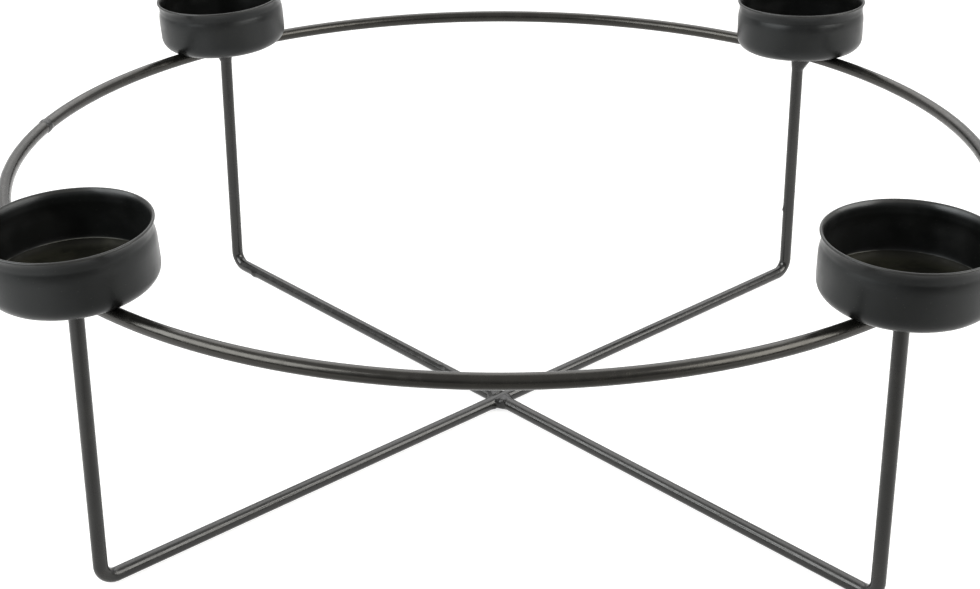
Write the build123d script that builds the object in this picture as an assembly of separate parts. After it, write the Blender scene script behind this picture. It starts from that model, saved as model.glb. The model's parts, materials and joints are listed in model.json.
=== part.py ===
from build123d import *
import os
from math import atan2, cos, degrees, radians, sin

# Advent candle holder: a wire ring on bent wire legs, with a pressed tealight cup over each leg.
# Millimetres and degrees. The origin is on the table under the ring's centre, +Z is up and -Y is the front.

# Wire stock and ring
wire_diameter = 4.2
ring_centre_radius = 150.0
ring_seam_angle = 173.0
ring_seam_gap = 0.6

# Legs: the rise runs from the arms' centreline to the ring's, and the feet stand a little wider than the ring
leg_rise = 88.5
leg_splay = 2.2
foot_bend_inner_radius = 2.7

# Candle cups, pressed from sheet: a rounded base corner, a wall that draws in at a shoulder to a short
# straight neck, and a flared rim. The bore is the neck's, the narrowest place that a candle passes.
cup_bore_radius = 21.25
cup_sheet = 0.8
cup_height = 17.5
cup_corner_inner_radius = 3.6
cup_neck_depth = 0.5
cup_neck_length = 0.8
cup_shoulder_height = 2.6
rim_flare_radius = 3.0
rim_flare_angle = 32.0

# Weld beads: the gap that each one fills, and its thickness where it runs out on the wire
weld_gap = 0.1
bead_edge = 0.25
seam_bead_length = 3.6
seam_bead_crown = 0.35
leg_bead_along_ring = 2.4
leg_bead_down_leg = 3.0
centre_bead_along_bow = 2.2
centre_bead_along_arm = 2.8
centre_bead_table_clearance = 0.2
cup_bead_length = 9.0
cup_bead_side = 0.9

# Shares of the shoulder's two bends, of the wire's radius or of a bead's reach
shoulder_hollow_share = 0.2
bead_climb_share = 0.5
bead_waist_reach_share = 0.3
bead_waist_depth_share = 0.4
cup_bead_climb_share = 0.4
cup_bead_split_share = 0.35

# The corners, counter-clockwise seen from above, starting at the back right
full_turn = 360.0
straight_angle = full_turn / 2
right_angle = full_turn / 4
first_corner_angle = 45.0
corner_names = ("back_right", "back_left", "front_left", "front_right")
corner_angles = {
    name: first_corner_angle + full_turn * index / len(corner_names)
    for index, name in enumerate(corner_names)
}

# Sizes that follow from the ones above
wire_radius = wire_diameter / 2
arm_height = wire_radius
ring_height = arm_height + leg_rise
foot_radius = ring_centre_radius + leg_splay
foot_bend_radius = foot_bend_inner_radius + wire_radius
cup_neck_radius = cup_bore_radius + cup_sheet
cup_wall_radius = cup_neck_radius + cup_neck_depth
cup_corner_radius = cup_corner_inner_radius + cup_sheet
cup_base_height = ring_height + wire_radius + weld_gap

# One leg in the upright plane y = 0, where x is the distance from the part's axis
ring_point = Vector(ring_centre_radius, 0, ring_height)
foot_point = Vector(foot_radius, 0, arm_height)
leg_direction = (ring_point - foot_point).normalized()
leg_top_point = ring_point - leg_direction * (wire_radius + weld_gap)
arm_end_point = Vector(wire_radius + weld_gap, 0, arm_height)


def turned(shape, angle):
    """A shape turned about the part's upright axis."""
    return Rot(0, 0, angle) * shape


def bent_wire(points):
    """Round wire along straight runs that are joined by the foot bend."""
    path = FilletPolyline(*points, radius=foot_bend_radius)
    section = Plane(origin=path @ 0, z_dir=path % 0) * Circle(wire_radius)
    return sweep(section, path=path)


def make_ring_wire():
    """The ring, rolled from one wire, with its two ends a seam gap apart."""
    gap_angle = degrees(ring_seam_gap / ring_centre_radius)
    section = Plane.XZ * Pos(ring_centre_radius, ring_height) * Circle(wire_radius)
    ring = revolve(section, Axis.Z, revolution_arc=full_turn - gap_angle)
    return turned(ring, ring_seam_angle + gap_angle / 2)


def make_ring_seam_weld(ring):
    """Dressed butt weld that fills the ring's seam and stands a little proud of the wire."""
    half_length = seam_bead_length / 2
    edge_radius = wire_radius + bead_edge
    crown_radius = wire_radius + seam_bead_crown
    low_edge = (edge_radius, -half_length)
    high_edge = (edge_radius, half_length)
    outline = [
        Line((0, -half_length), low_edge),
        ThreePointArc(low_edge, (crown_radius, 0), high_edge),
        Line(high_edge, (0, half_length)),
        Line((0, half_length), (0, -half_length)),
    ]
    bead = revolve(Plane.XZ * make_face(outline), Axis.Z)
    bearing = radians(ring_seam_angle)
    outward = Vector(cos(bearing), sin(bearing), 0)
    along_ring = Vector(-sin(bearing), cos(bearing), 0)
    seat = Plane(origin=outward * ring_centre_radius + Vector(0, 0, ring_height), z_dir=along_ring)
    return seat * bead - ring


def make_long_leg_bow():
    """Front-left leg, floor bar and back-right leg, bent from one wire."""
    far_foot_point = Vector(-foot_point.X, 0, foot_point.Z)
    far_top_point = Vector(-leg_top_point.X, 0, leg_top_point.Z)
    bow = bent_wire([leg_top_point, foot_point, far_foot_point, far_top_point])
    return turned(bow, corner_angles["back_right"])


def make_short_leg(corner):
    """Leg and floor arm of one wire, whose arm butts against the side of the bow's floor bar."""
    leg = bent_wire([leg_top_point, foot_point, arm_end_point])
    return turned(leg, corner_angles[corner])


def sheet_arc(centre, outer_radius, inner_radius, start_angle, sweep_angle):
    """The outer and the inner face of the cup's sheet where it bends about one centre."""
    outer = CenterArc(centre, outer_radius, start_angle, sweep_angle)
    inner = CenterArc(centre, inner_radius, start_angle, sweep_angle)
    return outer, inner


def cup_profile():
    """Half section of a cup's sheet, from its axis out to the rim and back."""
    lip_radius = cup_sheet / 2
    lip_flare_radius = rim_flare_radius + lip_radius
    neck_top = cup_height - lip_radius - lip_flare_radius * sin(radians(rim_flare_angle))
    neck_bottom = neck_top - cup_neck_length
    wall_top = neck_bottom - cup_shoulder_height
    shoulder_radii = (cup_shoulder_height**2 + cup_neck_depth**2) / (2 * cup_neck_depth)
    shoulder_angle = 2 * degrees(atan2(cup_neck_depth, cup_shoulder_height))
    hollow_radius = shoulder_radii * shoulder_hollow_share
    bulge_radius = shoulder_radii - hollow_radius

    corner_centre = (cup_wall_radius - cup_corner_radius, cup_corner_radius)
    bulge_centre = (cup_wall_radius - bulge_radius, wall_top)
    hollow_centre = (cup_neck_radius + hollow_radius, neck_bottom)
    flare_centre = (cup_neck_radius + rim_flare_radius, neck_top)
    bends = [
        sheet_arc(corner_centre, cup_corner_radius, cup_corner_inner_radius, -right_angle, right_angle),
        sheet_arc(bulge_centre, bulge_radius, bulge_radius - cup_sheet, 0, shoulder_angle),
        sheet_arc(
            hollow_centre,
            hollow_radius,
            hollow_radius + cup_sheet,
            straight_angle + shoulder_angle,
            -shoulder_angle,
        ),
        sheet_arc(
            flare_centre,
            rim_flare_radius,
            rim_flare_radius + cup_sheet,
            straight_angle,
            -rim_flare_angle,
        ),
    ]
    (outer_corner, inner_corner), (outer_bulge, inner_bulge) = bends[:2]
    (outer_hollow, inner_hollow), (outer_flare, inner_flare) = bends[2:]
    lip_crest = (outer_flare @ 1 + inner_flare @ 1) / 2 + (outer_flare % 1) * lip_radius
    outline = [arc for bend in bends for arc in bend]
    outline += [
        Line((0, 0), outer_corner @ 0),
        Line(outer_corner @ 1, outer_bulge @ 0),
        Line(outer_hollow @ 1, outer_flare @ 0),
        ThreePointArc(outer_flare @ 1, lip_crest, inner_flare @ 1),
        Line(inner_flare @ 0, inner_hollow @ 1),
        Line(inner_bulge @ 0, inner_corner @ 1),
        Line(inner_corner @ 0, (0, cup_sheet)),
        Line((0, cup_sheet), (0, 0)),
    ]
    return make_face(outline)


def make_candle_cup(corner):
    """Round sheet cup that stands on the ring over one leg."""
    cup = revolve(Plane.XZ * cup_profile(), Axis.Z)
    return turned(Pos(ring_centre_radius, 0, cup_base_height) * cup, corner_angles[corner])


def fillet_bead(seat, along, down):
    """Bead round a wire's end where it meets the side of another wire.

    The seat's origin is on the other wire's centreline, its x axis runs along that wire and its z axis
    points away from the wire that ends there.
    """
    edge_radius = wire_radius + bead_edge
    waist_reach = edge_radius + along * bead_waist_reach_share
    waist_depth = wire_radius + down * bead_waist_depth_share
    mouth = Pos(0, 0, -wire_radius * bead_climb_share) * Ellipse(wire_radius + along, edge_radius)
    waist = Pos(0, 0, -waist_depth) * Ellipse(waist_reach, edge_radius)
    toe = Pos(0, 0, -wire_radius - down) * Circle(edge_radius)
    return seat * loft([mouth, waist, toe])


def make_leg_weld(corner, ring, leg):
    """Fillet weld between a leg's top and the ring's underside."""
    seat = Plane(origin=ring_point, x_dir=(0, 1, 0), z_dir=leg_direction)
    bead = fillet_bead(seat, leg_bead_along_ring, leg_bead_down_leg)
    return turned(bead, corner_angles[corner]) - ring - leg


def make_centre_weld(corner, bow, leg):
    """Fillet weld between a short leg's arm and the bow's floor bar, dressed clear of the table."""
    seat = Plane(origin=(0, 0, arm_height), x_dir=(0, 1, 0), z_dir=(-1, 0, 0))
    bead = fillet_bead(seat, centre_bead_along_bow, centre_bead_along_arm)
    clear_plane = Plane.XY.offset(centre_bead_table_clearance)
    dressed = split(turned(bead, corner_angles[corner]), bisect_by=clear_plane, keep=Keep.TOP)
    return dressed - bow - leg


def make_cup_weld(corner, ring):
    """Pair of fillet beads under a cup, one on each side of the ring's wire."""
    top_half_width = wire_radius + cup_bead_side
    low_half_width = wire_radius + bead_edge
    low_height = ring_height + wire_radius * cup_bead_climb_share
    top_slot = SlotOverall(cup_bead_length, top_half_width * 2, rotation=right_angle)
    low_slot = SlotOverall(cup_bead_length - cup_bead_side, low_half_width * 2, rotation=right_angle)
    low_seat = Pos(ring_centre_radius, 0, low_height)
    cup_seat = Pos(ring_centre_radius, 0, cup_base_height)
    bead = loft([low_seat * low_slot, cup_seat * top_slot])
    crest_width = wire_diameter * cup_bead_split_share
    crest_length = cup_bead_length + cup_bead_side
    crest = cup_seat * Box(crest_width, crest_length, wire_diameter)
    return turned(bead - crest, corner_angles[corner]) - ring


def make_parts():
    """Every piece of the holder, by name."""
    ring = make_ring_wire()
    bow = make_long_leg_bow()
    parts = {"ring_wire": ring, "ring_seam_weld": make_ring_seam_weld(ring), "long_leg_bow": bow}
    legs = {"back_right": bow, "front_left": bow}
    for corner in ("front_right", "back_left"):
        legs[corner] = make_short_leg(corner)
        parts[f"{corner}_leg"] = legs[corner]
        parts[f"centre_weld_{corner}"] = make_centre_weld(corner, bow, legs[corner])
    for corner in corner_names:
        parts[f"candle_cup_{corner}"] = make_candle_cup(corner)
        parts[f"cup_weld_{corner}"] = make_cup_weld(corner, ring)
        parts[f"leg_weld_{corner}"] = make_leg_weld(corner, ring, legs[corner])
    return parts


os.makedirs("parts", exist_ok=True)
for name, part in make_parts().items():
    export_step(part, f"parts/{name}.step")
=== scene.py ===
"""Looks of the advent candle holder: wire frame, candle cups and welds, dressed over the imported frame.

Lengths are in metres, as in the frame.
"""

import json
import logging
import math
from dataclasses import dataclass, field, replace
from enum import Enum
from typing import Any, ClassVar

import bmesh
import bpy
from mathutils import Matrix, Vector, noise


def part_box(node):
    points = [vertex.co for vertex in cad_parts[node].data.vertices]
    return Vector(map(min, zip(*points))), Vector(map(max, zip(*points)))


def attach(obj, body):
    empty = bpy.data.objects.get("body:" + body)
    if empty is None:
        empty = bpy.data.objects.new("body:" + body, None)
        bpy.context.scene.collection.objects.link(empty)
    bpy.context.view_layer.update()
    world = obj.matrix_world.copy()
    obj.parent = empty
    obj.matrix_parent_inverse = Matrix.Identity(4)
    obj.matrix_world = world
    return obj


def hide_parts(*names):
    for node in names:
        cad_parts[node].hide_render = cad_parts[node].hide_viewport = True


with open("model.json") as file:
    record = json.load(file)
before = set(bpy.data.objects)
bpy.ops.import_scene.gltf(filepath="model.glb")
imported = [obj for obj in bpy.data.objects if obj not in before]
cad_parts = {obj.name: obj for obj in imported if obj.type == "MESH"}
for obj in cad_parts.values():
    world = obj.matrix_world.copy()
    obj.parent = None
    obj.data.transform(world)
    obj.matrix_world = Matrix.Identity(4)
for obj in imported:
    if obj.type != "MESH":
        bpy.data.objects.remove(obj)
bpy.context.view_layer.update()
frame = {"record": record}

log = logging.getLogger("candle_holder")

Colour = tuple[float, float, float]
Span = tuple[float, float]
Shape = bmesh.types.BMesh
Point = bmesh.types.BMVert
Edge = bmesh.types.BMEdge
Socket = bpy.types.NodeSocket
Material = bpy.types.Material

MM = 0.001
BODY = "root"
ORIGIN = Vector((0.0, 0.0, 0.0))
UP = Vector((0.0, 0.0, 1.0))
STAND_UPRIGHT = Matrix.Rotation(math.pi / 2, 4, "X")
MERGE_DISTANCE = 0.001 * MM
WHITE: Colour = (1.0, 1.0, 1.0)
NONE_TO_FULL: Span = (0.0, 1.0)
FULL_TO_NONE: Span = (1.0, 0.0)


def level_direction(bearing: float) -> Vector:
    """Level direction at a bearing in degrees."""
    return Vector((math.cos(math.radians(bearing)), math.sin(math.radians(bearing)), 0.0))


class Slot(Enum):
    """The record's material slots."""

    WIRE = "black_wire"
    CUP = "black_cup"
    WELD = "black_weld"


class Corner(Enum):
    """The corners with a leg and a cup, by their bearing in degrees, seen from above."""

    BACK_RIGHT = 45.0
    BACK_LEFT = 135.0
    FRONT_LEFT = 225.0
    FRONT_RIGHT = 315.0

    @property
    def label(self) -> str:
        """The corner's name as the CAD nodes spell it."""
        return self.name.lower()

    @property
    def outward(self) -> Vector:
        """Level direction from the part's axis to this corner."""
        return level_direction(self.value)

    @property
    def along_ring(self) -> Vector:
        """Level direction of the ring at this corner, counter-clockwise from above."""
        return UP.cross(self.outward)


class CupMark(Enum):
    """The values that a cup's shape keeps at its points, by their names."""

    RISE = "floor_rise"
    # Marks the lip, paler partly from wear and partly as a painted highlight.
    WORN = "worn"


class CupFace(Enum):
    """The two coats of a cup, by their numbers on its shape."""

    WALL = 0
    FLOOR = 1


@dataclass(frozen=True)
class Mottle:
    """How a cloudy noise turns into patches.

    Attributes:
        detail: How many finer layers the noise has.
        span: The noise's values where the patches begin and where they are full.
    """

    detail: float
    span: Span


class NodeSheet:
    """A node tree with short calls that add nodes and join them.

    Attributes:
        MIX_FIRST: Number of the mix node's input for the first colour.
        MIX_SECOND: Number of its input for the second colour.
        MIX_RESULT: Number of its output for the mixed colour.
        tree: The node tree.
    """

    MIX_FIRST: ClassVar[int] = 6
    MIX_SECOND: ClassVar[int] = 7
    MIX_RESULT: ClassVar[int] = 2

    def __init__(self, owner: bpy.types.ID) -> None:
        """Start an empty tree.

        Args:
            owner: The material or world that the tree belongs to.
        """
        owner.use_nodes = True
        self.tree = owner.node_tree
        self.tree.nodes.clear()

    def add(self, kind: str, inputs: dict[str | int, Any], **options: Any) -> bpy.types.Node:
        """Add one node.

        Args:
            kind: Blender's name of the node type.
            inputs: Values or output sockets, by the name or number of the input that takes them.
            options: Settings of the node itself.

        Returns:
            The new node.
        """
        node = self.tree.nodes.new(kind)
        for name, value in options.items():
            setattr(node, name, value)
        for name, value in inputs.items():
            if isinstance(value, Socket):
                self.tree.links.new(value, node.inputs[name])
            else:
                node.inputs[name].default_value = value
        return node

    def place(self) -> Socket:
        """Coordinates on the object, in metres."""
        return self.add("ShaderNodeTexCoord", {}).outputs["Object"]

    def kept(self, mark: CupMark) -> Socket:
        """A value that the shape keeps at its points."""
        return self.add("ShaderNodeAttribute", {}, attribute_name=mark.value).outputs["Fac"]

    def noise(self, place: Socket, grain: float, detail: float) -> Socket:
        """Cloudy noise.

        Args:
            place: Coordinates in metres.
            grain: Size of one cloud in metres.
            detail: How many finer layers it has.

        Returns:
            Its value, from 0 to 1.
        """
        inputs = {"Vector": place, "Scale": 1.0 / grain, "Detail": detail}
        return self.add("ShaderNodeTexNoise", inputs).outputs["Fac"]

    def remap(self, value: Socket, source: Span, target: Span) -> Socket:
        """A value moved smoothly from one range to another.

        Args:
            value: The value to move.
            source: Where the range begins and ends.
            target: What the two ends become.

        Returns:
            The moved value.
        """
        inputs = {
            "Value": value,
            "From Min": source[0],
            "From Max": source[1],
            "To Min": target[0],
            "To Max": target[1],
        }
        return self.add("ShaderNodeMapRange", inputs, interpolation_type="SMOOTHSTEP").outputs["Result"]

    def patches(self, place: Socket, grain: float, mottle: Mottle, target: Span) -> Socket:
        """Patches of cloudy noise.

        Args:
            place: Coordinates in metres.
            grain: Size of one patch in metres.
            mottle: How the noise turns into patches.
            target: The value outside the patches and within them.

        Returns:
            The value of the patches.
        """
        return self.remap(self.noise(place, grain, mottle.detail), mottle.span, target)

    def maths(self, operation: str, first: Any, second: Any) -> Socket:
        """Two values put together.

        Args:
            operation: Blender's name of the operation.
            first: The left value or socket.
            second: The right value or socket.

        Returns:
            The result.
        """
        return self.add("ShaderNodeMath", {0: first, 1: second}, operation=operation).outputs[0]

    def away_from(self, value: Socket, middle: float) -> Socket:
        """How far a value lies from a middle one, on either side."""
        return self.maths("ABSOLUTE", self.maths("SUBTRACT", value, middle), 0.0)

    def blend(self, share: Any, first: Any, second: Any) -> Socket:
        """Two colours mixed.

        Args:
            share: How much of the second colour shows.
            first: The colour at 0.
            second: The colour at 1.

        Returns:
            The mixed colour.
        """
        inputs = {0: share, self.MIX_FIRST: opaque(first), self.MIX_SECOND: opaque(second)}
        return self.add("ShaderNodeMix", inputs, data_type="RGBA").outputs[self.MIX_RESULT]


def opaque(colour: Any) -> Any:
    """A colour with full alpha, or a socket as it is."""
    return colour if isinstance(colour, Socket) else (*colour, 1.0)


@dataclass(frozen=True)
class SatinCoat:
    """Satin black coat with uneven tone, orange peel, rubbed patches and fine specks.

    Attributes:
        label: The material's name.
        tone: Colour of the coat.
        rubbed: Colour of the patches that handling has rubbed.
        gloss: Roughness where the coat flowed out well, and where it stayed dull.
        tint: Tint of the reflections.
        shine: Strength of the reflections, where 0.5 is a plain lacquer.
        rubs: How the rubbed patches break up.
        rub_cover: How much of the rubbed colour the patches take.
        dulling: How the dull patches break up.
        peel_grain: Size of the orange peel's bumps.
        peel_depth: Height of the orange peel.
        peel_detail: How many finer layers the orange peel has.
        sag_grain: Size of the long waves in the coat.
        sag_depth: Height of the long waves.
        sag_detail: How many finer layers the long waves have.
        speck_grain: Distance between the specks.
        speck_edge: Distance from a speck's middle where it begins to show, and where it is full.
        speck_lift: Colour of the specks.
        cloud_grain: Size of the clouds of deeper and paler coat.
        cloud_swing: How much deeper and paler they are than the coat's colour, as a share of it.
        clouds: How the clouds break up.
    """

    label: str
    tone: Colour
    rubbed: Colour
    gloss: Span
    tint: Colour
    shine: float
    rubs: Mottle = Mottle(detail=6.0, span=(0.52, 0.72))
    rub_cover: float = 0.5
    dulling: Mottle = Mottle(detail=3.0, span=(0.35, 0.7))
    peel_grain: float = 0.7 * MM
    peel_depth: float = 0.006 * MM
    peel_detail: float = 2.0
    sag_grain: float = 5.0 * MM
    sag_depth: float = 0.02 * MM
    sag_detail: float = 1.0
    speck_grain: float = 1.6 * MM
    speck_edge: Span = (0.09, 0.05)
    speck_lift: Colour = (0.022, 0.021, 0.019)
    cloud_grain: float = 14.0 * MM
    cloud_swing: float = 0.35
    clouds: Mottle = Mottle(detail=4.0, span=(0.3, 0.7))

    @property
    def rub_grain(self) -> float:
        """Size of a rubbed patch, which spans two of the long waves."""
        return self.sag_grain * 2

    def build(self) -> Material:
        """Make the material.

        Returns:
            The finished node material.
        """
        material = bpy.data.materials.new(self.label)
        sheet = NodeSheet(material)
        place = sheet.place()
        shader = sheet.add(
            "ShaderNodeBsdfPrincipled",
            {
                "Base Color": self.aged(sheet, place, self.colour(sheet, place)),
                "Roughness": sheet.patches(place, self.sag_grain, self.dulling, self.gloss),
                "Specular IOR Level": self.shine,
                "Specular Tint": opaque(self.tint),
                "Normal": self.relief(sheet, place),
            },
        )
        sheet.add("ShaderNodeOutputMaterial", {"Surface": shader.outputs["BSDF"]})
        return material

    def colour(self, sheet: NodeSheet, place: Socket) -> Socket:
        """Cloudy coat colour with rubbed patches and specks.

        Args:
            sheet: The material's nodes.
            place: Coordinates on the piece.

        Returns:
            The colour.
        """
        clouds = sheet.patches(place, self.cloud_grain, self.clouds, NONE_TO_FULL)
        deep = tuple(channel * (1.0 - self.cloud_swing) for channel in self.tone)
        pale = tuple(channel * (1.0 + self.cloud_swing) for channel in self.tone)
        rubs = sheet.patches(place, self.rub_grain, self.rubs, (0.0, self.rub_cover))
        coat = sheet.blend(rubs, sheet.blend(clouds, deep, pale), self.rubbed)
        cells = sheet.add("ShaderNodeTexVoronoi", {"Vector": place, "Scale": 1.0 / self.speck_grain})
        specks = sheet.remap(cells.outputs["Distance"], self.speck_edge, NONE_TO_FULL)
        return sheet.blend(specks, coat, self.speck_lift)

    def aged(self, sheet: NodeSheet, place: Socket, colour: Socket) -> Socket:
        """The colour with marks of use and any painted light, of which the plain coat has no more than its
        rubbed patches.
        """
        return colour

    def relief(self, sheet: NodeSheet, place: Socket) -> Socket:
        """Orange peel on top of the coat's long waves.

        Args:
            sheet: The material's nodes.
            place: Coordinates on the piece.

        Returns:
            The bumped normal.
        """
        sag = sheet.noise(place, self.sag_grain, self.sag_detail)
        peel = sheet.noise(place, self.peel_grain, self.peel_detail)
        waves = sheet.add("ShaderNodeBump", {"Height": sag, "Distance": self.sag_depth}).outputs["Normal"]
        inputs = {"Height": peel, "Distance": self.peel_depth, "Normal": waves}
        return sheet.add("ShaderNodeBump", inputs).outputs["Normal"]


@dataclass(frozen=True)
class UsedCupCoat(SatinCoat):
    """The cups' coat, paler on the lip from wear and as a painted highlight, and along a painted highlight
    line inside.

    Attributes:
        worn: Colour of the lip, paler from wear and as a painted highlight.
        wax: Colour of the line inside, a painted highlight where the wall meets the floor.
        wax_height: Height of the painted highlight line over the cup's base.
        wax_half_width: Half width of the painted highlight line.
        wax_grain: Length of the line's stronger and weaker stretches.
        wax_breaks: How the line breaks up into them.
        wax_cover: How much of the painted highlight shows in the weaker and in the stronger stretches.
    """

    worn: Colour = (0.024, 0.0235, 0.022)
    wax: Colour = (0.17, 0.17, 0.15)
    wax_height: float = 3.0 * MM
    wax_half_width: float = 0.4 * MM
    wax_grain: float = 13.0 * MM
    wax_breaks: Mottle = Mottle(detail=3.0, span=(0.45, 0.6))
    wax_cover: Span = (0.06, 1.0)

    def aged(self, sheet: NodeSheet, place: Socket, colour: Socket) -> Socket:
        """Lay the cup's paler lip, part wear and part painted highlight, and a painted highlight line inside
        over the coat.

        Args:
            sheet: The material's nodes.
            place: Coordinates on the cup.
            colour: The coat's colour.

        Returns:
            The colour with the lip's wear and painted highlight, and the painted highlight line.
        """
        # Painted highlight: a paler line round the inside near the floor, broken into stretches.
        off_line = sheet.away_from(sheet.kept(CupMark.RISE), self.wax_height)
        line = sheet.remap(off_line, (0.0, self.wax_half_width), FULL_TO_NONE)
        stretches = sheet.patches(place, self.wax_grain, self.wax_breaks, self.wax_cover)
        with_glint = sheet.blend(sheet.maths("MULTIPLY", line, stretches), colour, self.wax)
        # The lip is paler partly from wear and partly as a painted highlight.
        return sheet.blend(sheet.kept(CupMark.WORN), with_glint, self.worn)


@dataclass(frozen=True)
class BrownedFloorCoat(SatinCoat):
    """The coat of the cups' floor, browned by heat apart from black patches, and darkened towards the wall
    by painted shade.

    Attributes:
        clean: Colour of the black patches where the coat has stayed black, and of the painted shade towards
            the wall.
        stain_grain: Size of the black patches.
        stains: How they break up.
        stain_cover: How much of the black they take.
        edge_height: Height over the base where painted shade begins to darken the floor towards the wall,
        and where it is darkest.
        edge_grain: Length of the painted shade's paler and darker stretches.
        edge_breaks: How the painted shade breaks up into them.
        edge_cover: How much of the painted shade the paler and the darker stretches take.
    """

    clean: Colour = (0.0045, 0.0046, 0.004)
    stain_grain: float = 8.0 * MM
    stains: Mottle = Mottle(detail=5.0, span=(0.44, 0.6))
    stain_cover: float = 0.6
    edge_height: Span = (0.9 * MM, 2.3 * MM)
    edge_grain: float = 18.0 * MM
    edge_breaks: Mottle = Mottle(detail=2.0, span=(0.38, 0.58))
    edge_cover: Span = (0.3, 0.85)

    def aged(self, sheet: NodeSheet, place: Socket, colour: Socket) -> Socket:
        """Leave black patches in the browned coat, and paint shade at its edge towards the wall.

        Args:
            sheet: The material's nodes.
            place: Coordinates on the cup.
            colour: The browned coat's colour.

        Returns:
            The colour with the patches and the edge.
        """
        stains = sheet.patches(place, self.stain_grain, self.stains, (0.0, self.stain_cover))
        # Painted shade: the floor darkens towards the wall where it meets the cup's side.
        edge = sheet.remap(sheet.kept(CupMark.RISE), self.edge_height, NONE_TO_FULL)
        stretches = sheet.patches(place, self.edge_grain, self.edge_breaks, self.edge_cover)
        stains_and_shade = sheet.maths("MAXIMUM", stains, sheet.maths("MULTIPLY", edge, stretches))
        return sheet.blend(stains_and_shade, colour, self.clean)


WIRE_COAT = SatinCoat(
    label="satin_black_wire",
    tone=(0.0057, 0.0057, 0.0054),
    rubbed=(0.013, 0.012, 0.0103),
    gloss=(0.2, 0.3),
    tint=(1.0, 0.995, 0.98),
    shine=0.47,
    peel_depth=0.011 * MM,
    sag_grain=4.0 * MM,
    sag_depth=0.045 * MM,
)
RING_COAT = replace(
    WIRE_COAT,
    label="satin_black_ring",
    tone=(0.0058, 0.0056, 0.005),
    rubbed=(0.014, 0.012, 0.009),
    tint=(1.0, 0.965, 0.89),
    shine=0.42,
)
CUP_COAT = UsedCupCoat(
    label="satin_black_cup",
    tone=(0.0036, 0.0038, 0.0037),
    rubbed=(0.007, 0.007, 0.0066),
    gloss=(0.28, 0.42),
    tint=(0.95, 0.985, 1.0),
    shine=0.31,
    sag_grain=9.0 * MM,
    sag_depth=0.025 * MM,
)
FLOOR_COAT = BrownedFloorCoat(
    label="browned_cup_floor",
    tone=(0.0195, 0.0192, 0.0138),
    rubbed=(0.03, 0.0292, 0.021),
    gloss=(0.45, 0.6),
    tint=(1.0, 0.98, 0.88),
    shine=0.09,
)
WELD_COAT = SatinCoat(
    label="satin_black_weld",
    tone=(0.005, 0.0049, 0.0046),
    rubbed=(0.012, 0.011, 0.009),
    gloss=(0.22, 0.38),
    tint=WHITE,
    shine=0.42,
    sag_grain=1.4 * MM,
)


def add_object(name: str, data: bpy.types.ID) -> bpy.types.Object:
    """Put an object into the scene.

    Args:
        name: The object's name.
        data: The mesh, lamp or camera that it shows.

    Returns:
        The new object.
    """
    item = bpy.data.objects.new(name, data)
    bpy.context.scene.collection.objects.link(item)
    return item


def add_mesh(name: str, shape: Shape, *finishes: Material) -> bpy.types.Object:
    """Put a finished shape into the scene.

    Args:
        name: The object's name.
        shape: The shape in its place; it is freed.
        finishes: The object's materials, in the order of their numbers on the shape.

    Returns:
        The new object.
    """
    mesh = bpy.data.meshes.new(name)
    shape.to_mesh(mesh)
    shape.free()
    for finish in finishes:
        mesh.materials.append(finish)
    return add_object(name, mesh)


def close_up(shape: Shape) -> None:
    """Merge doubled points and turn every face outwards."""
    bmesh.ops.remove_doubles(shape, verts=shape.verts, dist=MERGE_DISTANCE)
    bmesh.ops.recalc_face_normals(shape, faces=shape.faces)


def points_among(items: list[Any]) -> list[Point]:
    """The points among the results of an operator."""
    return [item for item in items if isinstance(item, Point)]


def loop_edges(points: list[Point]) -> list[Edge]:
    """Find the edges that join the given points to each other.

    Args:
        points: The points of a loop.

    Returns:
        The edges, in the points' order.
    """
    inside = set(points)
    edges = dict.fromkeys(edge for point in points for edge in point.link_edges)
    return [edge for edge in edges if inside.issuperset(edge.verts)]


def spin_round(shape: Shape, outline: list[Any], steps: int) -> None:
    """Turn an outline once round the upright axis, into a closed shape.

    Args:
        shape: The shape with the outline.
        outline: The outline's points and edges.
        steps: Steps in the turn.
    """
    full_turn = 2 * math.pi
    bmesh.ops.spin(shape, geom=outline, cent=ORIGIN, axis=UP, angle=full_turn, steps=steps, use_merge=True)
    close_up(shape)


def bridge_row(shape: Shape, loops: list[list[Edge]]) -> None:
    """Bridge a row of loops and close its two ends.

    Args:
        shape: The shape with the loops.
        loops: The loops, from one end to the other.
    """
    for before, after in zip(loops, loops[1:]):
        bmesh.ops.bridge_loops(shape, edges=before + after)
    for end in (loops[0], loops[-1]):
        bmesh.ops.edgeloop_fill(shape, edges=end)


def roughen(shape: Shape, grain: float, height: float, seed: float) -> None:
    """Push a shape's points in and out along their normals, so that it looks hand-made.

    Args:
        shape: The shape, already in its place.
        grain: Size of one lump.
        height: Height of the highest lump.
        seed: Offset into the noise, so that equal shapes differ.
    """
    shape.normal_update()
    shift = Vector((seed, seed, seed))
    moves = [(point, point.normal * noise.noise(point.co / grain + shift) * height) for point in shape.verts]
    for point, move in moves:
        point.co += move


def raise_bump(shape: Shape, peak: Vector, reach: float, height: float) -> None:
    """Raise a round bump on a shape.

    Args:
        shape: The shape, already in its place.
        peak: The bump's middle on the surface.
        reach: Radius of its foot.
        height: How far it stands out.
    """
    shape.normal_update()
    for point in shape.verts:
        nearness = 1.0 - (point.co - peak).length_squared / reach**2
        if nearness > 0.0:
            point.co += point.normal * height * nearness**2


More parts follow.
